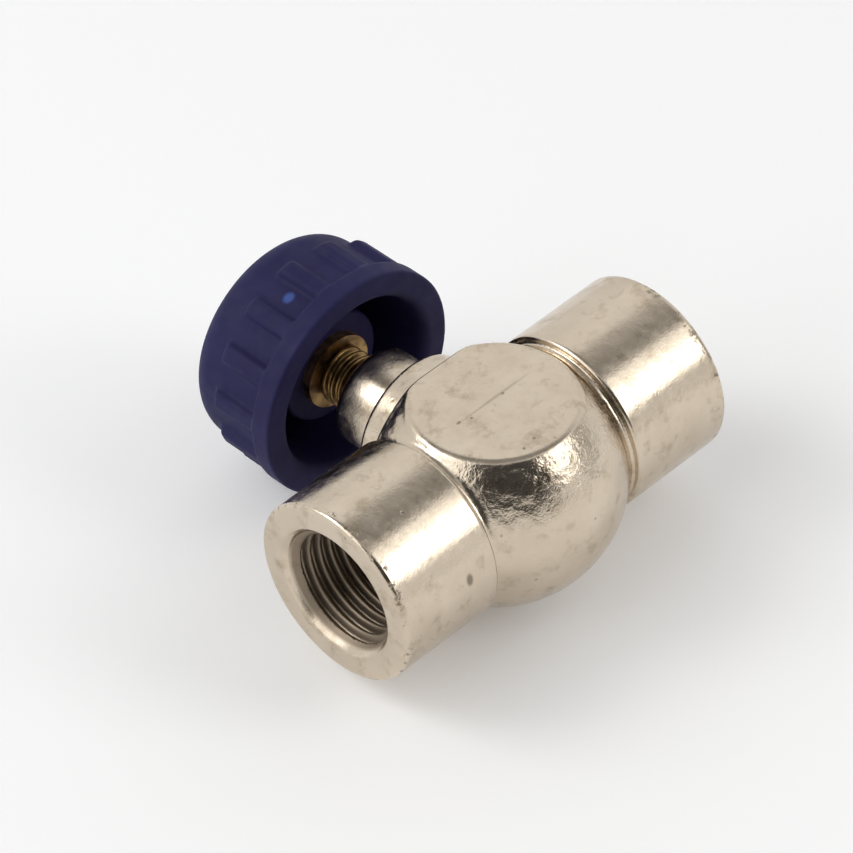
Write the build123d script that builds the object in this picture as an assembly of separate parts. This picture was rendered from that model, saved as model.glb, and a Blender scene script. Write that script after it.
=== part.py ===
from build123d import *
from math import tan, radians
import os

# Needle valve with two in-line female ports. Millimetres.
# Origin: where the port axis crosses the stem axis, at the centre of the ball.
# +X runs along the ports, +Y along the stem towards the handwheel, +Z out of the marking flat.

# Forged body
PORT_R = 9.75
PORT_END = 21.95
PORT_SHOULDER = 9.65
PORT_EDGE = 0.45
BALL_R = 12.75
FLAT_Z = 9.7
BALL_FACE_Y = 7.62
COLLAR_R = 7.8
COLLAR_TOP_R = 7.25
COLLAR_TOP_Y = 11.5
NECK_R = 5.2
NECK_Y = 17.3
NECK_EDGE = 0.9

# Port thread, modelled as its minor cylinder
THREAD_MINOR_R = 5.72
THREAD_MOUTH_R = 7.1
PORT_DEPTH = 12.45

# Flow path
SEAT_Y = -2.0
ORIFICE_R = 1.25
ORIFICE_BOTTOM_Y = -5.9
INLET_PASSAGE_R = 1.5
INLET_PASSAGE_Y = -4.0
CHAMBER_R = 2.6
CHAMBER_TOP_Y = 1.5
OUTLET_PASSAGE_R = 1.4
OUTLET_PASSAGE_Y = 0.0

# Seal bore and bush pocket in the neck
SEAL_BORE_R = 3.3
LEDGE_Y = 10.0
BUSH_BORE_R = 4.0

# Threaded bush and its gasket
BUSH_R = 3.97
BUSH_INNER_R = 3.05
BUSH_TOP_Y = 16.7
SLOT_W = 0.9
SLOT_DEEP = 0.8
GASKET_T = 0.5
GASKET_R = 3.95
GASKET_INNER_R = 3.4

# Stem, drawn with the needle lifted off its seat
LIFT = 3.0
CONE_HALF_ANGLE = 15.0
TIP_R = 0.3
PEG_R = 1.1
PEG_TOP_Y = 8.0
PEG_GAP = 0.02
ROD_R = 2.0
PISTON_R = 3.22
PISTON_BOTTOM_Y = 4.6
PISTON_TOP_Y = 8.4
UNDERCUT_R = 2.5
UNDERCUT_TOP_Y = 9.0
STEM_R = 3.0
STEM_SHOULDER_Y = 21.6
STEM_CHAMFER = 0.35
SQUARE = 3.5
STEM_TOP_Y = 27.0
STEM_TAP_R = 1.5
STEM_TAP_BOTTOM_Y = 22.4

# Stem seals and their grooves
GROOVE_R = 2.2
LOWER_GROOVE = (5.0, 6.2)
UPPER_GROOVE = (6.75, 8.05)
RING_MAJOR_R = 2.75
RING_MINOR_R = 0.5
LOWER_RING_Y = 5.6
UPPER_RING_Y = 7.27
UPPER_RING_MINOR_R = 0.46
BACKUP_Y = (7.74, 8.02)
BACKUP_INNER_R = 2.26
BACKUP_R = 3.24

# Handwheel
RIM_Y = 18.9
RIM_R = 12.35
RIM_EDGE = 0.6
BAND_TOP_Y = 21.2
RECESS_R = 11.45
END_R = 11.2
END_Y = 31.4
END_EDGE = 2.8
RIB_COUNT = 14
RIB_R = 12.15
RIB_TOP_Y = 26.7
RIB_W = 1.95
RIB_PHASE = 71.6
CUP_R = 9.3
CUP_MOUTH_R = 9.7
CUP_MOUTH_DEEP = 0.7
CUP_FLOOR_Y = 29.6
HUB_R = 6.1
HUB_BOTTOM_Y = 22.6
WEB_BOTTOM_Y = 27.2
WEB_TOP_Y = 28.0
WEB_HOLE_R = 1.7
POCKET_R = 4.5

# Brass insert moulded into the hub
INSERT_FLANGE_R = 4.0
INSERT_R = 3.6
INSERT_GAP = 0.02
INSERT_SQUARE = 3.58
INSERT_GROOVE_R = 3.2
INSERT_GROOVE = (24.4, 25.4)

# Handwheel screw, washer and cap
SCREW_R = 1.45
SCREW_BOTTOM_Y = 23.0
SCREW_HEAD_R = 2.75
SCREW_HEAD_H = 1.7
CROSS_W = 0.7
CROSS_L = 3.0
CROSS_DEEP = 1.0
WASHER_T = 0.6
WASHER_R = 3.2
WASHER_HOLE_R = 1.6
CAP_R = 4.45
CAP_Y = (30.5, 31.2)
CAP_DOME = 0.25
CAP_SKIRT_R = 3.9
CAP_SKIRT_Y = 29.5


def lathe(points):
    """Solid of revolution about Y from (radius, y) points."""
    face = make_face(Polyline(*points, close=True))
    return revolve(face, Axis.Y)


def rod_y(radius, low, high):
    """Cylinder on the stem axis between two heights."""
    return lathe([(0, low), (radius, low), (radius, high), (0, high)])


def ring_y(inner, outer, low, high):
    """Flat ring on the stem axis."""
    return lathe([(inner, low), (outer, low), (outer, high), (inner, high)])


def rod_x(radius, start, end, y=0.0):
    """Cylinder parallel to the port axis, at height y along the stem."""
    plane = Plane(origin=(start, y, 0), x_dir=(0, 1, 0), z_dir=(1, 0, 0))
    return extrude(plane * Circle(radius), end - start)


def square_y(side, low, high):
    """Square bar on the stem axis."""
    return Pos(0, (low + high) / 2, 0) * Box(side, high - low, side)


def port(side):
    """One port barrel, with rounded edges, on the +X or -X side."""
    barrel = rod_x(PORT_R, side * PORT_SHOULDER, side * PORT_END)
    rims = barrel.edges().filter_by(GeomType.CIRCLE)
    return fillet(rims, PORT_EDGE)


def port_bore(side):
    """Threaded bore of a port with its 45 degree mouth."""
    bottom = side * (PORT_END - PORT_DEPTH)
    mouth_deep = THREAD_MOUTH_R - THREAD_MINOR_R
    bore = rod_x(THREAD_MINOR_R, bottom, side * (PORT_END + 1))
    plane = Plane(origin=(side * (PORT_END - mouth_deep), 0, 0), z_dir=(side, 0, 0))
    mouth = plane * Pos(0, 0, mouth_deep / 2) * Cone(THREAD_MINOR_R, THREAD_MOUTH_R, mouth_deep)
    return bore + mouth


def ball_and_neck():
    """Ball with a turned face, tapered collar and neck around the stem axis, flatted on both sides."""
    ball = Sphere(BALL_R) - Pos(0, BALL_FACE_Y + BALL_R, 0) * Box(*[2 * BALL_R] * 3)
    slant = [(COLLAR_R, BALL_FACE_Y), (COLLAR_TOP_R, COLLAR_TOP_Y)]
    collar = lathe([(0, 0), (COLLAR_R, 0), *slant, (0, COLLAR_TOP_Y)])
    neck = rod_y(NECK_R, BALL_FACE_Y, NECK_Y)
    neck_rim = neck.edges().filter_by(GeomType.CIRCLE).sort_by(Axis.Y)[-1]
    neck = fillet(neck_rim, NECK_EDGE)
    shape = ball + collar + neck
    for side in (1, -1):
        shape -= Pos(0, 0, side * (FLAT_Z + BALL_R)) * Box(60, 60, 2 * BALL_R)
    return shape


def valve_body():
    """Forged body with port bores, flow passages, seat, seal bore and bush pocket."""
    shape = ball_and_neck() + port(1) + port(-1)
    shape -= port_bore(1)
    shape -= port_bore(-1)
    cavity = [
        (0, ORIFICE_BOTTOM_Y),
        (ORIFICE_R, ORIFICE_BOTTOM_Y),
        (ORIFICE_R, SEAT_Y),
        (CHAMBER_R, SEAT_Y),
        (CHAMBER_R, CHAMBER_TOP_Y),
        (SEAL_BORE_R, CHAMBER_TOP_Y),
        (SEAL_BORE_R, LEDGE_Y),
        (BUSH_BORE_R, LEDGE_Y),
        (BUSH_BORE_R, NECK_Y + 1),
        (0, NECK_Y + 1),
    ]
    shape -= lathe(cavity)
    bottom = PORT_END - PORT_DEPTH + 0.5
    shape -= rod_x(INLET_PASSAGE_R, -bottom, ORIFICE_R, INLET_PASSAGE_Y)
    shape -= rod_x(OUTLET_PASSAGE_R, 0, bottom, OUTLET_PASSAGE_Y)
    return shape


def bush_gasket():
    return ring_y(GASKET_INNER_R, GASKET_R, LEDGE_Y, LEDGE_Y + GASKET_T)


def thread_bush():
    """Bush that carries the stem thread, with a spanner slot across its top."""
    bush = ring_y(BUSH_INNER_R, BUSH_R, LEDGE_Y + GASKET_T, BUSH_TOP_Y)
    slot_y = BUSH_TOP_Y - SLOT_DEEP / 2
    slot = Pos(0, slot_y, 0) * Box(4 * BUSH_R, SLOT_DEEP, SLOT_W)
    return bush - slot


def needle_heights():
    """Heights of the needle's tip and of the top of its cone."""
    slope = tan(radians(CONE_HALF_ANGLE))
    seat_line = SEAT_Y + LIFT
    tip_y = seat_line - (ORIFICE_R - TIP_R) / slope
    cone_top_y = seat_line + (ROD_R - ORIFICE_R) / slope
    return tip_y, cone_top_y


def needle_tip():
    """Steel needle cone with a peg that is pressed into the stem."""
    tip_y, cone_top_y = needle_heights()
    outline = [
        (0, tip_y),
        (TIP_R, tip_y),
        (ROD_R, cone_top_y),
        (PEG_R, cone_top_y),
        (PEG_R, PEG_TOP_Y),
        (0, PEG_TOP_Y),
    ]
    return lathe(outline)


def needle_stem():
    """Stem: grooved piston, screwed shank and square drive, bored for the needle's peg."""
    cone_top_y = needle_heights()[1]
    outline = [
        (PEG_R + PEG_GAP, cone_top_y),
        (ROD_R, cone_top_y),
        (ROD_R, PISTON_BOTTOM_Y),
        (PISTON_R, PISTON_BOTTOM_Y),
        (PISTON_R, LOWER_GROOVE[0]),
        (GROOVE_R, LOWER_GROOVE[0]),
        (GROOVE_R, LOWER_GROOVE[1]),
        (PISTON_R, LOWER_GROOVE[1]),
        (PISTON_R, UPPER_GROOVE[0]),
        (GROOVE_R, UPPER_GROOVE[0]),
        (GROOVE_R, UPPER_GROOVE[1]),
        (PISTON_R, UPPER_GROOVE[1]),
        (PISTON_R, PISTON_TOP_Y),
        (UNDERCUT_R, PISTON_TOP_Y),
        (UNDERCUT_R, UNDERCUT_TOP_Y),
        (STEM_R, UNDERCUT_TOP_Y),
        (STEM_R, STEM_SHOULDER_Y - STEM_CHAMFER),
        (STEM_R - STEM_CHAMFER, STEM_SHOULDER_Y),
        (0, STEM_SHOULDER_Y),
        (0, PEG_TOP_Y),
        (PEG_R + PEG_GAP, PEG_TOP_Y),
    ]
    stem = lathe(outline) + square_y(SQUARE, STEM_SHOULDER_Y - 1, STEM_TOP_Y)
    return stem - rod_y(STEM_TAP_R, STEM_TAP_BOTTOM_Y, STEM_TOP_Y + 1)


def stem_ring(y, minor):
    """Rubber ring in a stem groove."""
    return Pos(0, y, 0) * Rot(90, 0, 0) * Torus(RING_MAJOR_R, minor)


def backup_ring():
    return ring_y(BACKUP_INNER_R, BACKUP_R, *BACKUP_Y)


def handwheel():
    """Moulded cup-shaped handwheel with ribs, hub and screw pocket."""
    band = [(0, RIM_Y), (RIM_R, RIM_Y), (RIM_R, BAND_TOP_Y)]
    crown = [(RECESS_R, BAND_TOP_Y), (END_R, END_Y), (0, END_Y)]
    wheel = lathe(band + crown)
    circles = wheel.edges().filter_by(GeomType.CIRCLE).sort_by(Axis.Y)
    wheel = fillet(circles[-1], END_EDGE)
    rim = wheel.edges().filter_by(GeomType.CIRCLE).sort_by(Axis.Y)[0]
    wheel = fillet(rim, RIM_EDGE)
    rib_low = BAND_TOP_Y - 0.5
    inner = RECESS_R - 1.0
    for index in range(RIB_COUNT):
        angle = RIB_PHASE + index * 360 / RIB_COUNT
        rib = Pos((inner + RIB_R) / 2, (rib_low + RIB_TOP_Y) / 2, 0)
        rib *= Box(RIB_R - inner, RIB_TOP_Y - rib_low, RIB_W)
        wheel += Rot(0, -angle, 0) * rib
    wheel -= rod_y(CUP_R, RIM_Y - 1, CUP_FLOOR_Y)
    mouth = [(0, RIM_Y - 1), (CUP_MOUTH_R, RIM_Y - 1), (CUP_MOUTH_R, RIM_Y), (CUP_R, RIM_Y + CUP_MOUTH_DEEP)]
    wheel -= lathe(mouth + [(0, RIM_Y + CUP_MOUTH_DEEP)])
    wheel += rod_y(HUB_R, HUB_BOTTOM_Y, CUP_FLOOR_Y + 0.5)
    wheel -= rod_y(INSERT_R + INSERT_GAP, HUB_BOTTOM_Y - 1, WEB_BOTTOM_Y)
    wheel -= rod_y(WEB_HOLE_R, WEB_BOTTOM_Y - 1, END_Y + 1)
    wheel -= rod_y(POCKET_R, WEB_TOP_Y, END_Y + 1)
    return wheel


def hub_insert():
    """Flanged brass insert with a square hole and a retaining groove."""
    outline = [
        (0, STEM_SHOULDER_Y),
        (INSERT_FLANGE_R, STEM_SHOULDER_Y),
        (INSERT_FLANGE_R, HUB_BOTTOM_Y),
        (INSERT_R, HUB_BOTTOM_Y),
        (INSERT_R, INSERT_GROOVE[0]),
        (INSERT_GROOVE_R, INSERT_GROOVE[0]),
        (INSERT_GROOVE_R, INSERT_GROOVE[1]),
        (INSERT_R, INSERT_GROOVE[1]),
        (INSERT_R, WEB_BOTTOM_Y),
        (0, WEB_BOTTOM_Y),
    ]
    return lathe(outline) - square_y(INSERT_SQUARE, STEM_SHOULDER_Y - 1, WEB_BOTTOM_Y + 1)


def lock_washer():
    return ring_y(WASHER_HOLE_R, WASHER_R, WEB_TOP_Y, WEB_TOP_Y + WASHER_T)


def handwheel_screw():
    """Pan head screw with a cross recess, screwed into the end of the stem."""
    under_head = WEB_TOP_Y + WASHER_T
    top = under_head + SCREW_HEAD_H
    head = rod_y(SCREW_HEAD_R, under_head, top)
    head_rim = head.edges().filter_by(GeomType.CIRCLE).sort_by(Axis.Y)[-1]
    head = fillet(head_rim, SCREW_HEAD_H / 2)
    for size in ((CROSS_L, CROSS_W), (CROSS_W, CROSS_L)):
        head -= Pos(0, top - CROSS_DEEP / 2, 0) * Box(size[0], CROSS_DEEP, size[1])
    return head + rod_y(SCREW_R, SCREW_BOTTOM_Y, under_head + 0.2)


def wheel_cap():
    """Snap-in cap over the screw, slightly domed, with a short skirt."""
    dome_r = (CAP_R**2 + CAP_DOME**2) / (2 * CAP_DOME)
    dome_y = CAP_Y[1] + CAP_DOME - dome_r
    disc = rod_y(CAP_R, CAP_Y[0], CAP_Y[1] + CAP_DOME)
    disc &= Pos(0, dome_y, 0) * Sphere(dome_r)
    return disc + ring_y(CAP_SKIRT_R, CAP_R, CAP_SKIRT_Y, CAP_Y[0])


PIECES = {
    "valve_body": valve_body(),
    "bush_gasket": bush_gasket(),
    "thread_bush": thread_bush(),
    "needle_stem": needle_stem(),
    "needle_tip": needle_tip(),
    "stem_o_ring_lower": stem_ring(LOWER_RING_Y, RING_MINOR_R),
    "stem_o_ring_upper": stem_ring(UPPER_RING_Y, UPPER_RING_MINOR_R),
    "backup_ring": backup_ring(),
    "handwheel": handwheel(),
    "hub_insert": hub_insert(),
    "lock_washer": lock_washer(),
    "handwheel_screw": handwheel_screw(),
    "wheel_cap": wheel_cap(),
}

os.makedirs("parts", exist_ok=True)
for name, piece in PIECES.items():
    export_step(piece, f"parts/{name}.step")
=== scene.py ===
import math

import bpy
import numpy as np
from mathutils import Matrix, Vector


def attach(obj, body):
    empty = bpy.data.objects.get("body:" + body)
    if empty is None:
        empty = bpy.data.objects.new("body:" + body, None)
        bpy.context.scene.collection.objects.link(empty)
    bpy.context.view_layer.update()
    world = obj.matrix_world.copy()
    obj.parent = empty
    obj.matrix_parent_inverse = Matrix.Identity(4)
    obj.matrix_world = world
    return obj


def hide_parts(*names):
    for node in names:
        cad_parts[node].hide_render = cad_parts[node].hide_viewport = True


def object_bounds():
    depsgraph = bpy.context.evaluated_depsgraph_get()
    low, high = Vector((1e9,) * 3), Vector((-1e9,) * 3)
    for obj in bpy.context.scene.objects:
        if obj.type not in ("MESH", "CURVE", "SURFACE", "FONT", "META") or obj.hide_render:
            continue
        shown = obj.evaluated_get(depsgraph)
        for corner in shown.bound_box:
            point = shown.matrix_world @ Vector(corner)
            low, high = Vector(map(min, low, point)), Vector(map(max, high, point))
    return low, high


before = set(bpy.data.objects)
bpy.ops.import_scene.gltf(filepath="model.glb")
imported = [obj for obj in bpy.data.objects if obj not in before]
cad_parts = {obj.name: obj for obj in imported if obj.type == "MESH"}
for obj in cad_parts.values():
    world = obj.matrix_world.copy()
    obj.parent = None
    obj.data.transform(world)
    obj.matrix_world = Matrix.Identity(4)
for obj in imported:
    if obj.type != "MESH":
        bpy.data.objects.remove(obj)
cad_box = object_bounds()

MM = 0.001

# ---------------------------------------------------------------------------
# Sizes in millimetres, as in the CAD model
# ---------------------------------------------------------------------------

PORT_R = 9.75
PORT_END = 21.95
PORT_SHOULDER = 9.65
PORT_EDGE = 0.45
PORT_BOTTOM = 9.5
BALL_R = 12.75
FLAT_Z = 9.7
BALL_FACE_Y = 7.62
COLLAR_R = 7.8
COLLAR_TOP_R = 7.25
COLLAR_TOP_Y = 11.5
NECK_R = 5.2
NECK_Y = 17.3

PORT_MINOR_R = 5.72
PORT_MOUTH_R = 7.1

SEAT_Y = -2.0
ORIFICE_R = 1.25
ORIFICE_BOTTOM_Y = -5.9
CHAMBER_R = 2.6
CHAMBER_TOP_Y = 1.5
SEAL_BORE_R = 3.3
LEDGE_Y = 10.0
BUSH_BORE_R = 4.0
INLET_R = 1.5
INLET_Y = -4.0
OUTLET_R = 1.4
PASSAGE_END = 10.0

RIM_Y = 18.9
RIM_R = 12.35
BAND_TOP_Y = 21.2
RECESS_R = 11.45
END_R = 11.2
END_Y = 31.4
END_EDGE = 2.8
RIB_COUNT = 14
RIB_R = 12.15
RIB_TOP_Y = 26.7
RIB_PHASE = math.radians(71.6)
CUP_R = 9.3
CUP_MOUTH_R = 9.7
CUP_MOUTH_DEEP = 0.7
CUP_FLOOR_Y = 29.6
HUB_R = 6.1
HUB_BOTTOM_Y = 22.6
WEB_BOTTOM_Y = 27.2
WEB_TOP_Y = 28.0
WEB_HOLE_R = 1.7
POCKET_R = 4.5
INSERT_POCKET_R = 3.62

LIFT = 3.0
CONE_HALF_ANGLE = math.radians(15.0)
PEG_HOLE_R = 1.12
PEG_TOP_Y = 8.0
ROD_R = 2.0
PISTON_R = 3.22
PISTON_BOTTOM_Y = 4.6
PISTON_TOP_Y = 8.4
GROOVE_R = 2.2
GROOVES = ((5.0, 6.2), (6.75, 8.05))
UNDERCUT_R = 2.5
UNDERCUT_TOP_Y = 9.0
STEM_R = 3.0
STEM_SHOULDER_Y = 21.6
STEM_CHAMFER = 0.35
SQUARE_HALF = 1.75
STEM_TOP_Y = 27.0
STEM_TAP_R = 1.5
STEM_TAP_BOTTOM_Y = 22.4

# ---------------------------------------------------------------------------
# Finer sizes in millimetres, which only the detailed pieces have
# ---------------------------------------------------------------------------

PORT_PITCH = 1.337
PORT_THREAD_DEEP = 0.8
PORT_THREAD_FLAT = 0.13
PORT_THREAD_START = 0.6
PORT_RUNOUT = 1.0
PORT_THREAD_EDGE = 0.12
PORT_MOUTH_EDGE = 0.15
PORT_FILLET = 0.3
LAND_R = 9.05
LAND_INNER = 8.0
LAND_EDGE = 0.2
LAND_FILLET = 0.35
FLAT_EDGE = 0.3
BALL_FACE_EDGE = 0.35
COLLAR_EDGE = 0.45
COLLAR_FILLET = 0.3
NECK_EDGE = 1.0
NECK_FILLET = 0.3
INNER_BORE_EDGE = 0.1

RIB_HALF_W = 0.88
RIB_DRAFT = 0.4
RIB_ROOT_R = 10.9
RIB_START = 1.0
RIB_EDGE = 0.4
RIB_END_EDGE = 0.5
RIB_FILLET = 0.3
BAND_EDGE = 0.4
BAND_TOP_EDGE = 0.3
BAND_FILLET = 0.4
RIM_INSET = 0.03
RIM_ROUND = 0.1
RIM_INNER_EDGE = 0.6
CUP_FLOOR_EDGE = 1.0
CUP_MOUTH_EDGE = 0.3
HUB_EDGE = 0.5
HUB_SUNK = 0.5
HUB_SUNK_EDGE = 0.1
HUB_FILLET = 0.8
POCKET_EDGE = 0.12

STEM_PITCH = 1.0
STEM_THREAD_DEEP = 0.55
STEM_THREAD_FLAT = 0.14
STEM_THREAD_EDGE = 0.15
STEM_CORE_SHORT = 0.2
SQUARE_BOTTOM_Y = 20.0
STEM_HOLE_EDGE = 0.08

# A steep thread flank changes its field faster than distance, so it is scaled down
FLANK_SCALE = 0.6
CHAMFER_SCALE = 0.7

# Waves left by the forging die: wavelength, seed, then depth everywhere, more on the ball, and
# more on its shoulders. The zones fade in over the runs below.
FORGED_WAVES = (
    (4.5, 11, 0.006, 0.024, 0.0),
    (1.5, 12, 0.002, 0.008, 0.030),
    (0.75, 13, 0.0, 0.0, 0.022),
)
RELIEF_START_R = 7.6
RELIEF_RUN = 1.0
BALL_RELIEF_PAST = 0.3
BALL_RELIEF_RUN = 1.2
FLAT_MARGIN = 0.1
FLAT_RUN = 0.5
FACE_RUN = 0.6
SHOULDER_Z = 3.5
SHOULDER_RUN = 2.5

# Slight sink of the moulded handwheel
MOULDED_WAVE = 6.0
MOULDED_SEED = 21
MOULDED_DEPTH = 0.01

# Grid steps of the three meshes
BODY_STEP = 0.2
WHEEL_STEP = 0.18
STEM_STEP = 0.12

# ---------------------------------------------------------------------------
# Distance fields: negative inside, millimetres
# ---------------------------------------------------------------------------


def smin(a, b, k):
    """Union with a concave fillet of about 0.85 k."""
    h = np.clip(0.5 + 0.5 * (b - a) / k, 0.0, 1.0)
    return b + (a - b) * h - k * h * (1.0 - h)


def smax(a, b, k):
    """Intersection with a rounded edge of about 0.85 k."""
    return -smin(-a, -b, k)


def rounded_box(u, v, half_u, half_v, edge):
    """Rectangle in two coordinates with rounded corners."""
    qu = np.abs(u) - half_u + edge
    qv = np.abs(v) - half_v + edge
    outside = np.hypot(np.maximum(qu, 0.0), np.maximum(qv, 0.0))
    return outside + np.minimum(np.maximum(qu, qv), 0.0) - edge


def ripple(x, y, z, wavelength, seed, waves=10):
    """Smooth random relief, about -1 to 1, made of plane waves in fixed directions."""
    rng = np.random.default_rng(seed)
    total = np.zeros_like(x)
    for _ in range(waves):
        way = rng.normal(size=3)
        way *= 2 * math.pi / (wavelength * rng.uniform(0.8, 1.3) * np.linalg.norm(way))
        total += np.sin(way[0] * x + way[1] * y + way[2] * z + rng.uniform(0, 2 * math.pi))
    return total / math.sqrt(waves)


def wave_depth(x, y, z, wavelength, seed):
    """Ripple turned into a depth that stays at about 0 or more."""
    return 1.0 + ripple(x, y, z, wavelength, seed) / 3.0


def fade_in(depth, run):
    """0 outside a zone, rising to 1 once it is a run deep."""
    return np.clip(depth / run, 0.0, 1.0)


def thread_depth(along, angle, pitch, flat):
    """0 to 1 across a right-hand thread's profile, with flat crests and roots."""
    phase = np.mod(along / pitch - angle / (2 * math.pi), 1.0)
    rise = np.clip((np.abs(2 * phase - 1) - flat) / (1 - 2 * flat), 0.0, 1.0)
    return rise * rise * (3 - 2 * rise)


def port_void(x, rho, angle):
    """Threaded bore of both ports, with the countersunk mouth."""
    ax = np.abs(x)
    depth = thread_depth(x, angle, PORT_PITCH, PORT_THREAD_FLAT)
    fade = fade_in(ax - PORT_BOTTOM - PORT_THREAD_START, PORT_RUNOUT)
    wall = PORT_MINOR_R + PORT_THREAD_DEEP * depth * fade
    bore = np.maximum((rho - wall) * FLANK_SCALE, PORT_BOTTOM - ax)
    mouth = (rho - PORT_MOUTH_R - (ax - PORT_END)) * math.sqrt(0.5)
    return smin(bore, mouth, PORT_THREAD_EDGE)


def stem_void(x, y, z, ry):
    """Stepped bore in the neck, the seat and the two flow passages."""
    void = np.maximum(ry - BUSH_BORE_R, LEDGE_Y - y)
    steps = ((SEAL_BORE_R, CHAMBER_TOP_Y), (CHAMBER_R, SEAT_Y), (ORIFICE_R, ORIFICE_BOTTOM_Y))
    for radius, bottom in steps:
        void = np.minimum(void, np.maximum(ry - radius, bottom - y))
    inlet = np.hypot(y - INLET_Y, z) - INLET_R
    inlet = np.maximum(inlet, np.maximum(x - ORIFICE_R, -PASSAGE_END - x))
    outlet = np.maximum(np.hypot(y, z) - OUTLET_R, np.maximum(-x, x - PASSAGE_END))
    return np.minimum(void, np.minimum(inlet, outlet))


def body_field(x, y, z):
    """Forged and machined valve body."""
    ry = np.hypot(x, z)
    rho = np.hypot(y, z)
    ball = smax(np.sqrt(ry * ry + y * y) - BALL_R, np.abs(z) - FLAT_Z, FLAT_EDGE)
    ball = smax(ball, y - BALL_FACE_Y, BALL_FACE_EDGE)
    run, rise = COLLAR_R - COLLAR_TOP_R, COLLAR_TOP_Y - BALL_FACE_Y
    slant = ((ry - COLLAR_R) * rise + (y - BALL_FACE_Y) * run) / math.hypot(run, rise)
    collar = smax(slant, y - COLLAR_TOP_Y, COLLAR_EDGE)
    core = smin(ball, np.maximum(collar, -y), COLLAR_FILLET)
    middle = (PORT_END + PORT_SHOULDER) / 2
    half = (PORT_END - PORT_SHOULDER) / 2
    land = np.maximum(np.maximum(rho - LAND_R, LAND_INNER - np.abs(x)), np.abs(x) - middle)
    core = smin(core, smax(land, y - BALL_FACE_Y, LAND_EDGE), LAND_FILLET)
    port = rounded_box(np.abs(x) - middle, rho, half, PORT_R, PORT_EDGE)
    neck = rounded_box(y - NECK_Y / 2, ry, NECK_Y / 2, NECK_R, NECK_EDGE)
    outer = smin(core, port, PORT_FILLET)
    outer = smin(outer, neck, NECK_FILLET)
    outer = smax(outer, -port_void(x, rho, np.arctan2(z, y)), PORT_MOUTH_EDGE)
    return smax(outer, -stem_void(x, y, z, ry), INNER_BORE_EDGE)


def body_relief(x, y, z):
    """Depth of the waves left by the forging die, strongest on the ball, none inside the ports."""
    forged = fade_in(np.hypot(y, z) - RELIEF_START_R, RELIEF_RUN)
    ball = fade_in(PORT_SHOULDER + BALL_RELIEF_PAST - np.abs(x), BALL_RELIEF_RUN)
    ball = ball * fade_in(FLAT_Z - FLAT_MARGIN - np.abs(z), FLAT_RUN)
    ball = ball * fade_in(BALL_FACE_Y - FLAT_MARGIN - y, FACE_RUN)
    shoulder = ball * fade_in(np.abs(z) - SHOULDER_Z, SHOULDER_RUN)
    relief = np.zeros_like(ball)
    for wavelength, seed, everywhere, on_ball, on_shoulder in FORGED_WAVES:
        depth = everywhere + on_ball * ball + on_shoulder * shoulder
        relief += wave_depth(x, y, z, wavelength, seed) * depth
    return forged * relief


def body_surface(x, y, z):
    """Body with the forging waves sunk into it."""
    return body_field(x, y, z) + body_relief(x, y, z)


def wheel_rib(x, y, z, ry):
    """Ribs around the crown, with drafted sides and ends."""
    pitch = 2 * math.pi / RIB_COUNT
    angle = np.mod(np.arctan2(z, x) - RIB_PHASE + pitch / 2, pitch) - pitch / 2
    drop = np.maximum(RIB_R - ry, 0.0) * RIB_DRAFT
    across = (np.abs(ry * np.sin(angle)) - RIB_HALF_W - drop) / math.hypot(1, RIB_DRAFT)
    end = (y - RIB_TOP_Y - drop) / math.hypot(1, RIB_DRAFT)
    rib = smax(smax(across, ry - RIB_R, RIB_EDGE), end, RIB_END_EDGE)
    return np.maximum(rib, np.maximum(RIB_ROOT_R - ry, RIM_Y + RIB_START - y))


def wheel_field(x, y, z):
    """Moulded handwheel: crown, rim band, ribs, cup, hub and pockets."""
    ry = np.hypot(x, z)
    lean = (RECESS_R - END_R) / (END_Y - BAND_TOP_Y)
    middle, half = (RIM_Y + END_Y) / 2, (END_Y - RIM_Y) / 2
    crown = rounded_box(y - middle, ry + lean * (y - BAND_TOP_Y), half, RECESS_R, END_EDGE)
    band = smax(smax(ry - RIM_R, RIM_Y - y, BAND_EDGE), y - BAND_TOP_Y, BAND_TOP_EDGE)
    wheel = smin(smin(crown, band, BAND_FILLET), wheel_rib(x, y, z, ry), RIB_FILLET)
    wheel = smax(wheel, ry - RIM_R + RIM_INSET, RIM_ROUND)
    mouth = ry - CUP_MOUTH_R - (RIM_Y - y) * (CUP_MOUTH_R - CUP_R) / CUP_MOUTH_DEEP
    cup = smin(smax(ry - CUP_R, y - CUP_FLOOR_Y, CUP_FLOOR_EDGE), mouth, CUP_MOUTH_EDGE)
    wheel = smax(wheel, -cup, RIM_INNER_EDGE)
    hub = smax(ry - HUB_R, HUB_BOTTOM_Y - y, HUB_EDGE)
    hub = smax(hub, y - CUP_FLOOR_Y - HUB_SUNK, HUB_SUNK_EDGE)
    wheel = smin(wheel, hub, HUB_FILLET)
    void = np.maximum(ry - INSERT_POCKET_R, y - WEB_BOTTOM_Y)
    void = np.minimum(void, ry - WEB_HOLE_R)
    void = np.minimum(void, np.maximum(ry - POCKET_R, WEB_TOP_Y - y))
    return smax(wheel, -void, POCKET_EDGE)


def wheel_surface(x, y, z):
    """Handwheel with the slight sink of a moulding."""
    sink = MOULDED_DEPTH * wave_depth(x, y, z, MOULDED_WAVE, MOULDED_SEED)
    return wheel_field(x, y, z) + sink


def stem_shank(x, y, z, ry):
    """Threaded length of the stem, chamfered at the shoulder."""
    depth = thread_depth(y, np.arctan2(x, z), STEM_PITCH, STEM_THREAD_FLAT)
    shank = (ry - STEM_R + STEM_THREAD_DEEP * (1 - depth)) * FLANK_SCALE
    ends = np.maximum(y - STEM_SHOULDER_Y + STEM_THREAD_EDGE, UNDERCUT_TOP_Y - y)
    shank = smax(shank, ends, STEM_THREAD_EDGE)
    chamfer = (ry - STEM_R + STEM_CHAMFER - (STEM_SHOULDER_Y - y)) * CHAMFER_SCALE
    return np.maximum(shank, chamfer)


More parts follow.
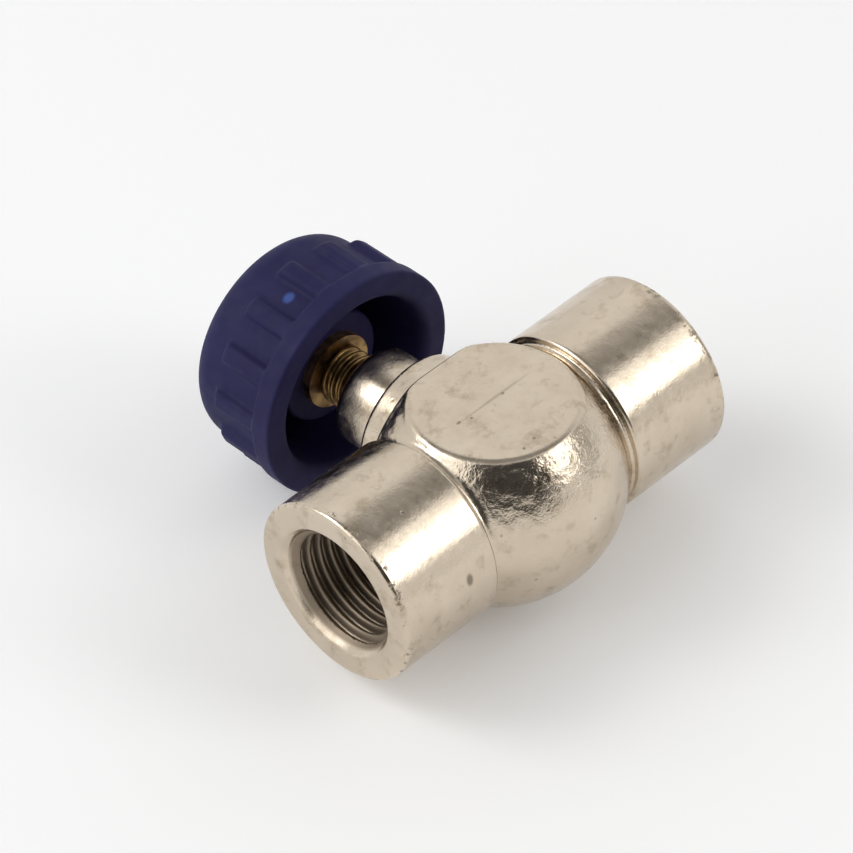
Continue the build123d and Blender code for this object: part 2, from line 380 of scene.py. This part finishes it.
def stem_piston(y, ry):
    """Piston with a groove for each rubber ring."""
    piston = np.maximum(ry - PISTON_R, np.maximum(PISTON_BOTTOM_Y - y, y - PISTON_TOP_Y))
    for low, high in GROOVES:
        groove = np.maximum(GROOVE_R - ry, np.maximum(low - y, y - high))
        piston = np.maximum(piston, -groove)
    return piston


def stem_surface(x, y, z):
    """Brass stem with its thread, grooved piston and square end."""
    ry = np.hypot(x, z)
    core = np.maximum(PEG_TOP_Y - y, y - STEM_SHOULDER_Y + STEM_CORE_SHORT)
    core = np.maximum(ry - UNDERCUT_R, core)
    cone_top = SEAT_Y + LIFT + (ROD_R - ORIFICE_R) / math.tan(CONE_HALF_ANGLE)
    rod = np.maximum(ry - ROD_R, np.maximum(cone_top - y, y - GROOVES[0][0]))
    square = np.maximum(np.abs(x), np.abs(z)) - SQUARE_HALF
    square = np.maximum(square, np.maximum(SQUARE_BOTTOM_Y - y, y - STEM_TOP_Y))
    stem = np.minimum(stem_shank(x, y, z, ry), core)
    stem = np.minimum(stem, np.minimum(np.minimum(stem_piston(y, ry), rod), square))
    peg = np.maximum(ry - PEG_HOLE_R, y - PEG_TOP_Y)
    tap = np.maximum(ry - STEM_TAP_R, STEM_TAP_BOTTOM_Y - y)
    return smax(stem, -np.minimum(peg, tap), STEM_HOLE_EDGE)


# ---------------------------------------------------------------------------
# From a field to a mesh
# ---------------------------------------------------------------------------

# Reach of the gradient's probe in millimetres, the least squared slope, and rounds of settling
PROBE = 0.01
LEAST_SLOPE = 0.05
SETTLE_ROUNDS = 3


def sample(field, low, high, step):
    """Field values on a grid, worked out slice by slice."""
    axes = [np.arange(low[i], high[i] + step, step) for i in range(3)]
    values = np.empty([len(a) for a in axes], np.float32)
    yy, zz = np.meshgrid(axes[1], axes[2], indexing="ij")
    for i, x in enumerate(axes[0]):
        values[i] = field(np.full_like(yy, x), yy, zz)
    return values


def net_points(values):
    """One point in each cell that the surface crosses, and the cell's number."""
    inside = values < 0
    size = [n - 1 for n in values.shape]
    total = np.zeros(size + [3], np.float32)
    count = np.zeros(size, np.int32)
    for axis in range(3):
        others = [a for a in range(3) if a != axis]
        low = [slice(None)] * 3
        high = [slice(None)] * 3
        low[axis] = slice(0, -1)
        high[axis] = slice(1, None)
        v0, v1 = values[tuple(low)], values[tuple(high)]
        cross = inside[tuple(low)] != inside[tuple(high)]
        with np.errstate(divide="ignore", invalid="ignore"):
            t = np.where(cross, v0 / (v0 - v1), 0.0)
        for a in (0, 1):
            for b in (0, 1):
                pick = [slice(None)] * 3
                pick[others[0]] = slice(a, a + size[others[0]])
                pick[others[1]] = slice(b, b + size[others[1]])
                hit = cross[tuple(pick)]
                count += hit
                total[..., axis] += t[tuple(pick)] * hit
                total[..., others[0]] += a * hit
                total[..., others[1]] += b * hit
    active = count > 0
    number = np.full(size, -1, np.int64)
    number[active] = np.arange(active.sum())
    corner = np.argwhere(active)
    return corner + total[active] / count[active][:, None], number, inside


def net_faces(number, inside):
    """A quad around each grid edge that the surface crosses."""
    quads = []
    for axis in range(3):
        b, c = (axis + 1) % 3, (axis + 2) % 3
        low = [slice(1, -1)] * 3
        high = [slice(1, -1)] * 3
        low[axis] = slice(0, -1)
        high[axis] = slice(1, None)
        here, there = inside[tuple(low)], inside[tuple(high)]
        edges = np.argwhere(here != there)
        out = here[tuple(edges.T)]
        edges[:, b] += 1
        edges[:, c] += 1
        ring = []
        for db, dc in ((1, 1), (0, 1), (0, 0), (1, 0)):
            cell = edges.copy()
            cell[:, b] -= db
            cell[:, c] -= dc
            ring.append(number[tuple(cell.T)])
        quad = np.stack(ring, 1)
        quad[~out] = quad[~out][:, ::-1]
        quads.append(quad)
    return np.concatenate(quads)


def settle(points, field, step):
    """Moves points onto the field's zero surface along its gradient, half a step at most."""
    h = PROBE
    for _ in range(SETTLE_ROUNDS):
        x, y, z = points.T
        value = field(x, y, z)
        slope = np.stack(
            [
                field(x + h, y, z) - field(x - h, y, z),
                field(x, y + h, z) - field(x, y - h, z),
                field(x, y, z + h) - field(x, y, z - h),
            ],
            1,
        ) / (2 * h)
        move = slope * (value / np.maximum((slope**2).sum(1), LEAST_SLOPE))[:, None]
        length = np.linalg.norm(move, axis=1, keepdims=True)
        move *= np.minimum(1.0, 0.5 * step / np.maximum(length, 1e-9))
        points = points - move
    return points


def relax(points, quads):
    """Moves each point halfway to the middle of its neighbours."""
    total = np.zeros_like(points)
    count = np.zeros(len(points))
    for i in range(4):
        a, b = quads[:, i], quads[:, (i + 1) % 4]
        for k in range(3):
            total[:, k] += np.bincount(a, points[b, k], len(points))
            total[:, k] += np.bincount(b, points[a, k], len(points))
        count += np.bincount(a, minlength=len(points)) + np.bincount(b, minlength=len(points))
    return 0.5 * points + 0.5 * total / count[:, None]


def mesh_object(name, points, faces):
    """Blender object from points in millimetres and equal-sided faces."""
    mesh = bpy.data.meshes.new(name)
    sides = faces.shape[1]
    mesh.vertices.add(len(points))
    mesh.vertices.foreach_set("co", (points * MM).astype(np.float32).ravel())
    mesh.loops.add(faces.size)
    mesh.loops.foreach_set("vertex_index", faces.astype(np.int32).ravel())
    mesh.polygons.add(len(faces))
    mesh.polygons.foreach_set("loop_start", np.arange(0, faces.size, sides, dtype=np.int32))
    mesh.update(calc_edges=True)
    mesh.validate()
    mesh.shade_smooth()
    piece = bpy.data.objects.new(name, mesh)
    bpy.context.scene.collection.objects.link(piece)
    return piece


def carve(name, coarse, exact, low, high, step):
    """Mesh of a field: a net on a grid, relaxed and settled on the exact surface."""
    values = sample(coarse, low, high, step)
    points, number, inside = net_points(values)
    quads = net_faces(number, inside)
    points = np.array(low) + points * step
    points = settle(points, coarse, step)
    points = settle(relax(points, quads), exact, step)
    return mesh_object(name, points, quads)


# ---------------------------------------------------------------------------
# Materials
# ---------------------------------------------------------------------------


class Paint:
    """Small helper that adds and links shader nodes."""

    def __init__(self, name):
        self.material = bpy.data.materials.new(name)
        self.material.use_nodes = True
        self.nodes = self.material.node_tree.nodes
        self.links = self.material.node_tree.links
        self.shader = self.nodes["Principled BSDF"]
        self.place = self.nodes.new("ShaderNodeTexCoord").outputs["Object"]

    def link(self, source, target):
        self.links.new(source, target)

    def scaled(self, factors):
        """Object coordinates in millimetres times the given factors."""
        node = self.nodes.new("ShaderNodeMapping")
        node.inputs["Scale"].default_value = [f / MM for f in factors]
        self.link(self.place, node.inputs["Vector"])
        return node.outputs["Vector"]

    def noise(self, size, detail=3.0, rough=0.5, stretch=(1, 1, 1)):
        """Noise with features about size millimetres across."""
        node = self.nodes.new("ShaderNodeTexNoise")
        node.inputs["Scale"].default_value = 1.0
        node.inputs["Detail"].default_value = detail
        node.inputs["Roughness"].default_value = rough
        self.link(self.scaled([s / size for s in stretch]), node.inputs["Vector"])
        return node.outputs["Fac"]

    def specks(self, size, reach):
        """1 in small round spots on a grid of about size millimetres, 0 elsewhere."""
        node = self.nodes.new("ShaderNodeTexVoronoi")
        node.inputs["Scale"].default_value = 1.0
        self.link(self.scaled([1 / size] * 3), node.inputs["Vector"])
        return self.ramp(node.outputs["Distance"], ((0.0, 1.0), (reach, 0.0)))

    def between(self, axis, start, low, high, end):
        """1 from low to high away from the origin, on either side, and 0 at start and end."""
        node = self.nodes.new("ShaderNodeSeparateXYZ")
        self.link(self.scaled((1, 1, 1)), node.inputs["Vector"])
        away = self.math("ABSOLUTE", node.outputs[axis], 0)
        return self.math("MULTIPLY", self.fade(away, start, low), self.fade(away, end, high))

    def fade(self, source, low, high):
        """0 at low to 1 at high, and level beyond."""
        node = self.nodes.new("ShaderNodeMapRange")
        node.inputs["From Min"].default_value = low
        node.inputs["From Max"].default_value = high
        self.link(source, node.inputs["Value"])
        return node.outputs["Result"]

    def around_x(self, none, full):
        """0 at one radius around the port axis, 1 at another, and level beyond."""
        node = self.nodes.new("ShaderNodeVectorMath")
        node.operation = "LENGTH"
        self.link(self.scaled((0, 1, 1)), node.inputs[0])
        return self.fade(node.outputs["Value"], none, full)

    def spot(self, centre, reach):
        """1 at a point, fading to 0 at the given reach along each axis, all in millimetres."""
        node = self.nodes.new("ShaderNodeVectorMath")
        node.operation = "DISTANCE"
        self.link(self.scaled([1 / r for r in reach]), node.inputs[0])
        node.inputs[1].default_value = [c / r for c, r in zip(centre, reach)]
        return self.fade(node.outputs["Value"], 1.0, 0.5)

    def ramp(self, source, stops):
        """Maps a value through (place, grey) or (place, colour) stops."""
        node = self.nodes.new("ShaderNodeValToRGB")
        node.color_ramp.elements[0].position = stops[0][0]
        node.color_ramp.elements[1].position = stops[-1][0]
        while len(node.color_ramp.elements) < len(stops):
            node.color_ramp.elements.new(stops[len(node.color_ramp.elements) - 1][0])
        for element, (at, value) in zip(node.color_ramp.elements, stops):
            element.position = at
            colour = value if isinstance(value, (tuple, list)) else (value,) * 3
            element.color = (*colour, 1.0)
        self.link(source, node.inputs["Fac"])
        return node.outputs["Color"]

    def math(self, kind, a, b):
        """Sum, product or the like of two values, each a number or a socket."""
        node = self.nodes.new("ShaderNodeMath")
        node.operation = kind
        for socket, value in zip(node.inputs, (a, b)):
            if isinstance(value, (int, float)):
                socket.default_value = value
            else:
                self.link(value, socket)
        return node.outputs["Value"]

    def blend(self, factor, a, b):
        """Mixes two colours or greys, from a at 0 to b at 1."""
        node = self.nodes.new("ShaderNodeMix")
        node.data_type = "RGBA"
        colours = [s for s in node.inputs if s.type == "RGBA"]
        for socket, value in zip((node.inputs[0], colours[0], colours[1]), (factor, a, b)):
            if isinstance(value, (int, float)):
                socket.default_value = value
            elif isinstance(value, (tuple, list)):
                socket.default_value = (*value, 1.0)
            else:
                self.link(value, socket)
        return [s for s in node.outputs if s.type == "RGBA"][0]

    def bump(self, height, distance, below=None):
        """Bump from a height of 0 to 1, as deep as distance millimetres."""
        node = self.nodes.new("ShaderNodeBump")
        node.inputs["Distance"].default_value = distance * MM
        self.link(height, node.inputs["Height"])
        if below is not None:
            self.link(below, node.inputs["Normal"])
        return node.outputs["Normal"]

    def set(self, **values):
        """Fills shader sockets with numbers, colours or links, and returns the material."""
        for key, value in values.items():
            socket = self.shader.inputs[key.replace("_", " ")]
            if isinstance(value, (int, float)):
                socket.default_value = value
            elif isinstance(value, (tuple, list)):
                socket.default_value = (*value, 1.0)
            else:
                self.link(value, socket)
        return self.material


NICKEL_SHADES = ((0.3, (0.61, 0.515, 0.40)), (0.7, (0.68, 0.585, 0.465)))
NICKEL_STAIN = (0.36, 0.28, 0.18)
NICK_COLOUR = (0.14, 0.11, 0.08)
# Darker brown inside the port bores: partly the cut metal, partly painted shade
BORE_SHADE_COLOUR = (0.19, 0.145, 0.105)
BORE_ROUGH = (0.5, 0.5, 0.5)
FORGED_ROUGH = (0.15, 0.15, 0.15)
BLUE_SHADES = ((0.3, (0.0135, 0.0118, 0.060)), (0.7, (0.0185, 0.0165, 0.076)))
BLUE_WORN = (0.05, 0.05, 0.12)
# Pale blue of the painted highlight on the handwheel
HIGHLIGHT_SPOT_COLOUR = (0.05, 0.09, 0.30)

# Where the looks of the body change, in millimetres: start, low, high and end away from the
# middle, a centre and its reach, or two radii
FORGED_X = (-2, -1, 8.4, 9.0)
FORGED_Z = (3.2, 5.0, 9.2, 9.6)
FORGED_BELOW_NECK = ((0, -6, 0), (60, 13.4, 60))
PORT_FACE_X = (20.8, 21.3, 22.5, 23.0)
PORT_RIM_R = (9.3, 9.6)
PORT_BORE_R = (6.7, 6.4)

# Painted highlight: a pale spot on a recess of the handwheel where a glint falls; where it is and
# how far it reaches along the three axes
HIGHLIGHT_SPOT = ((-3.8, 24.0, 11.0), (0.8, 0.7, 1.5))

# Dark marks on the plated body: where each is, how far it reaches along the three axes, how dark
MARKS = (
    ((0.4, 0.32, 9.7), (5.3, 0.20, 1.0), 0.35),
    ((1.3, 0.20, 9.7), (0.26, 0.20, 1.0), 0.8),
    ((-4.45, 0.37, 9.7), (0.32, 0.18, 1.0), 0.8),
    ((-13.35, -9.54, 2.03), (0.5, 1.0, 0.85), 1.0),
)


def forged_zone(paint):
    """1 on the ball's shoulders around the flats, where the forging skin is crinkled."""
    sides = paint.between("X", *FORGED_X)
    rise = paint.between("Z", *FORGED_Z)
    low = paint.spot(*FORGED_BELOW_NECK)
    return paint.math("MULTIPLY", paint.math("MULTIPLY", sides, rise), low)


def nicks_and_marks(paint):
    """1 in scattered pits, on the worn outer edges of the ports and in the placed marks."""
    few = paint.ramp(paint.noise(5.0, 2.0), ((0.49, 0.0), (0.59, 1.0)))
    nicks = paint.math("MULTIPLY", paint.specks(1.9, 0.12), few)
    ends = paint.between("X", *PORT_FACE_X)
    edge = paint.math("MULTIPLY", ends, paint.around_x(*PORT_RIM_R))
    worn = paint.ramp(paint.noise(0.9, 5.0, 0.7), ((0.56, 0.0), (0.64, 1.0)))
    nicks = paint.math("MAXIMUM", nicks, paint.math("MULTIPLY", edge, worn))
    for centre, reach, dark in MARKS:
        mark = paint.math("MULTIPLY", paint.spot(centre, reach), dark)
        nicks = paint.math("MAXIMUM", nicks, mark)
    return nicks


def nickel():
    """Satin nickel plate over forged brass, with stains, nicks, forged crinkles and dull bores,
    whose darker brown is partly the cut metal and partly painted shade.
    """
    paint = Paint("nickel_plate")
    forged = forged_zone(paint)
    nicks = nicks_and_marks(paint)
    bore = paint.around_x(*PORT_BORE_R)
    tone = paint.ramp(paint.noise(4.0, 4.0), NICKEL_SHADES)
    stain = paint.ramp(paint.noise(2.4, 6.0, 0.65), ((0.53, 0.0), (0.70, 0.6)))
    tone = paint.blend(stain, tone, NICKEL_STAIN)
    tone = paint.blend(paint.math("MULTIPLY", nicks, 0.75), tone, NICK_COLOUR)
    # Inside the port bores: darker brown, partly the cut metal and partly painted shade
    tone = paint.blend(paint.math("MULTIPLY", bore, 0.8), tone, BORE_SHADE_COLOUR)
    rough = paint.ramp(paint.noise(0.9, 4.0), ((0.3, 0.14), (0.7, 0.28)))
    rough = paint.blend(forged, rough, FORGED_ROUGH)
    rough = paint.blend(bore, rough, BORE_ROUGH)
    coarse = paint.math("MULTIPLY", paint.noise(0.7, 3.0, 0.6), forged)
    sharp = paint.math("MULTIPLY", paint.noise(0.3, 3.0, 0.6), forged)
    grain = paint.bump(paint.noise(0.22, 3.0, 0.6), 0.010)
    dents = paint.bump(paint.noise(0.8, 2.0, 0.5), 0.012, below=grain)
    beaten = paint.bump(coarse, 0.05, below=dents)
    crisp = paint.bump(sharp, 0.045, below=beaten)
    normal = paint.bump(nicks, -0.03, below=crisp)
    return paint.set(Base_Color=tone, Metallic=1.0, Roughness=rough, Normal=normal)


def plastic():
    """Dark blue moulded plastic with a faint grain, worn specks and one pale spot of painted
    highlight.
    """
    paint = Paint("blue_plastic")
    tone = paint.ramp(paint.noise(5.0, 3.0), BLUE_SHADES)
    worn = paint.ramp(paint.noise(0.8, 6.0, 0.7), ((0.66, 0.0), (0.8, 0.35)))
    tone = paint.blend(worn, tone, BLUE_WORN)
    # Painted highlight: a pale spot on a handwheel recess, where a glint falls
    tone = paint.blend(paint.spot(*HIGHLIGHT_SPOT), tone, HIGHLIGHT_SPOT_COLOUR)
    rough = paint.ramp(paint.noise(1.4, 4.0), ((0.3, 0.58), (0.7, 0.72)))
    normal = paint.bump(paint.noise(0.25, 3.0, 0.6), 0.008)
    return paint.set(Base_Color=tone, Roughness=rough, Specular_IOR_Level=0.22, Normal=normal)


def turned_metal(name, light, dark, rough):
    """Turned metal: fine rings around the stem axis and slight tarnish, as blotches between a
    light and a dark tone; on the brass pieces the dark tone is partly painted shade.
    """
    paint = Paint(name)
    tone = paint.ramp(paint.noise(1.5, 4.0), ((0.35, dark), (0.65, light)))
    rings = paint.noise(0.12, 2.0, 0.5, stretch=(0.05, 1, 0.05))
    gloss = paint.ramp(paint.noise(0.8, 3.0), ((0.3, rough), (0.7, rough + 0.12)))
    normal = paint.bump(rings, 0.004)
    return paint.set(Base_Color=tone, Metallic=1.0, Roughness=gloss, Normal=normal)


def soft_part(name, light, dark, rough):
    """Rubber or sealing plastic with a slightly mottled surface."""
    paint = Paint(name)
    tone = paint.ramp(paint.noise(0.7, 3.0), ((0.35, dark), (0.65, light)))
    normal = paint.bump(paint.noise(0.2, 3.0), 0.005)
    return paint.set(Base_Color=tone, Roughness=rough, Normal=normal)


def finish(piece, material):
    """Gives a piece its material."""
    piece.data.materials.clear()
    piece.data.materials.append(material)


# ---------------------------------------------------------------------------
# Pieces
# ---------------------------------------------------------------------------


def make_body(material):
    """Valve body, with real threads in the ports."""
    low, high = (-22.5, -13.3, -10.3), (22.5, 17.9, 10.3)
    piece = carve("forged_body", body_field, body_surface, low, high, BODY_STEP)
    finish(piece, material)
    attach(piece, "body")
    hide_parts("valve_body")


def make_wheel(material):
    """Handwheel, with soft moulded edges."""
    low, high = (-12.9, 18.3, -12.9), (12.9, 32.0, 12.9)
    piece = carve("ribbed_handwheel", wheel_field, wheel_surface, low, high, WHEEL_STEP)
    finish(piece, material)
    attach(piece, "spindle")
    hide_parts("handwheel")


def make_stem(material):
    """Stem, with its real thread."""
    low, high = (-3.6, 3.2, -3.6), (3.6, 27.5, 3.6)
    piece = carve("threaded_stem", stem_surface, stem_surface, low, high, STEM_STEP)
    finish(piece, material)
    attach(piece, "spindle")
    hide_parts("needle_stem")


def paint_cad(paints):
    """Procedural materials on the CAD nodes that stay."""
    wearing = {
        "thread_bush": "brass",
        "hub_insert": "brass",
        "needle_tip": "stainless",
        "lock_washer": "zinc_steel",
        "handwheel_screw": "zinc_steel",
        "wheel_cap": "blue_plastic",
        "stem_o_ring_lower": "black_rubber",
        "stem_o_ring_upper": "black_rubber",
        "bush_gasket": "ptfe",
        "backup_ring": "ptfe",
    }
    for node, slot in wearing.items():
        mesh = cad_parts[node].data
        mesh.materials.clear()
        mesh.materials.append(paints[slot])


# ---------------------------------------------------------------------------
# Camera, light and floor
# ---------------------------------------------------------------------------

# Camera, with its distance and aim in millimetres
AZIMUTH = math.radians(-43.63)
ELEVATION = math.radians(43.31)
ROLL = math.radians(-2.46)
DISTANCE = 516.55
AIM = Vector((-2.388, 6.958, 3.594))
LENS = 227.24

# Point that the softboxes shine at, and the floor's gap and half width, in metres
LIGHT_AIM = Vector((0, 0.01, 0))
FLOOR_GAP = 0.00005
FLOOR_HALF = 1.5


def look_from(azimuth, elevation):
    """Unit vector towards the viewer. Azimuth 0 looks along +Y."""
    flat = math.cos(elevation)
    return Vector((math.sin(azimuth) * flat, -math.cos(azimuth) * flat, math.sin(elevation)))


def make_camera():
    """Camera at the solved view of the part."""
    back = look_from(AZIMUTH, ELEVATION)
    right = Vector((0, 0, 1)).cross(back).normalized()
    up = back.cross(right)
    right, up = (
        right * math.cos(ROLL) + up * math.sin(ROLL),
        up * math.cos(ROLL) - right * math.sin(ROLL),
    )
    data = bpy.data.cameras.new("view")
    data.lens = LENS
    data.sensor_width = 36.0
    data.clip_start = 0.01
    camera = bpy.data.objects.new("view", data)
    turn = Matrix((right, up, back)).transposed().to_4x4()
    camera.matrix_world = Matrix.Translation((AIM + back * DISTANCE) * MM) @ turn
    bpy.context.scene.collection.objects.link(camera)
    bpy.context.scene.camera = camera


def softbox(name, direction, distance, size, power):
    """Square area light that shines at the object from the given direction."""
    way = Vector(direction).normalized()
    data = bpy.data.lights.new(name, "AREA")
    data.shape = "SQUARE"
    data.size = size
    data.energy = power
    light = bpy.data.objects.new(name, data)
    light.location = way * distance + LIGHT_AIM
    light.rotation_euler = way.to_track_quat("Z", "Y").to_euler()
    bpy.context.scene.collection.objects.link(light)


# Bright and shaded sides of the studio: direction, half width in degrees, softness of the edge in
# degrees, and the light inside. A later one covers an earlier one.
STUDIO_BASE = 0.85
STUDIO = (
    ((0.16, 0.10, 0.98), 24, 24, 0.30),
    ((0.50, -0.16, 0.85), 10, 14, 0.30),
    ((0.52, 0.55, 0.65), 14, 14, 0.95),
    ((-0.06, 0.53, 0.85), 10, 12, 0.25),
    ((-0.75, 0.24, 0.62), 25, 8, 1.60),
    ((-0.10, 0.86, 0.45), 20, 14, 0.85),
    ((-0.56, -0.55, 0.61), 28, 8, 0.06),
    ((-0.12, -0.82, 0.55), 27, 8, 0.06),
    ((0.74, -0.58, 0.34), 17, 14, 0.45),
    ((0.52, -0.48, 0.71), 10, 8, 1.60),
)


def make_world():
    """White to the camera, and a soft studio of bright and shaded sides to everything else."""
    world = bpy.data.worlds.new("studio")
    bpy.context.scene.world = world
    world.use_nodes = True
    nodes, links = world.node_tree.nodes, world.node_tree.links
    around = nodes.new("ShaderNodeTexCoord").outputs["Generated"]
    level = nodes.new("ShaderNodeValue").outputs[0]
    level.default_value = STUDIO_BASE
    for direction, width, soft, light in STUDIO:
        dot = nodes.new("ShaderNodeVectorMath")
        dot.operation = "DOT_PRODUCT"
        dot.inputs[1].default_value = Vector(direction).normalized()
        links.new(around, dot.inputs[0])
        edge = nodes.new("ShaderNodeMapRange")
        edge.interpolation_type = "SMOOTHSTEP"
        edge.inputs["From Min"].default_value = math.cos(math.radians(width + soft / 2))
        edge.inputs["From Max"].default_value = math.cos(math.radians(max(width - soft / 2, 0)))
        links.new(dot.outputs["Value"], edge.inputs["Value"])
        mix = nodes.new("ShaderNodeMix")
        links.new(edge.outputs["Result"], mix.inputs[0])
        links.new(level, mix.inputs[2])
        mix.inputs[3].default_value = light
        level = mix.outputs[0]
    seen = nodes.new("ShaderNodeMix")
    links.new(nodes.new("ShaderNodeLightPath").outputs["Is Camera Ray"], seen.inputs[0])
    links.new(level, seen.inputs[2])
    seen.inputs[3].default_value = 1.0
    links.new(seen.outputs[0], nodes["Background"].inputs["Strength"])
    nodes["Background"].inputs["Color"].default_value = (1.0, 1.0, 1.0, 1.0)


def make_floor():
    """Plain pale floor just under the part."""
    level = min(cad_box[0][2], cad_box[1][2]) - FLOOR_GAP
    around = ((-1, -1), (1, -1), (1, 1), (-1, 1))
    corners = [(x * FLOOR_HALF, y * FLOOR_HALF, level) for x, y in around]
    mesh = bpy.data.meshes.new("floor")
    mesh.from_pydata(corners, [], [(0, 1, 2, 3)])
    floor = bpy.data.objects.new("floor", mesh)
    bpy.context.scene.collection.objects.link(floor)
    paint = Paint("floor")
    pale = (0.95, 0.95, 0.95)
    mesh.materials.append(paint.set(Base_Color=pale, Roughness=0.9, Emission_Strength=0.11))


make_camera()
make_world()
make_floor()
softbox("key", (0.42, -0.74, 0.52), distance=0.45, size=0.18, power=0.33)
softbox("back", (-0.50, 0.53, 0.68), distance=0.45, size=0.20, power=0.45)

paints = {
    "nickel_plate": nickel(),
    "blue_plastic": plastic(),
    # Brass for the bush and the hub insert; its dark blotches are partly tarnish and partly
    # painted shade
    "brass": turned_metal("brass", (0.64, 0.43, 0.19), (0.16, 0.09, 0.04), 0.34),
    # Darker copy of the brass: painted shade for the stem, which sits in the handwheel's shadow
    "shaded_brass": turned_metal("shaded_brass", (0.40, 0.26, 0.11), (0.10, 0.06, 0.025), 0.30),
    "stainless": turned_metal("stainless", (0.72, 0.72, 0.71), (0.60, 0.60, 0.59), 0.2),
    "zinc_steel": turned_metal("zinc_steel", (0.72, 0.73, 0.74), (0.58, 0.59, 0.60), 0.3),
    "black_rubber": soft_part("black_rubber", (0.03, 0.03, 0.03), (0.018, 0.018, 0.018), 0.55),
    "ptfe": soft_part("ptfe", (0.86, 0.86, 0.84), (0.78, 0.78, 0.75), 0.45),
}
make_body(paints["nickel_plate"])
make_wheel(paints["blue_plastic"])
# The stem wears the darker brass, painted shade for the handwheel's shadow
make_stem(paints["shaded_brass"])
paint_cad(paints)
bpy.context.scene.view_settings.view_transform = "Standard"
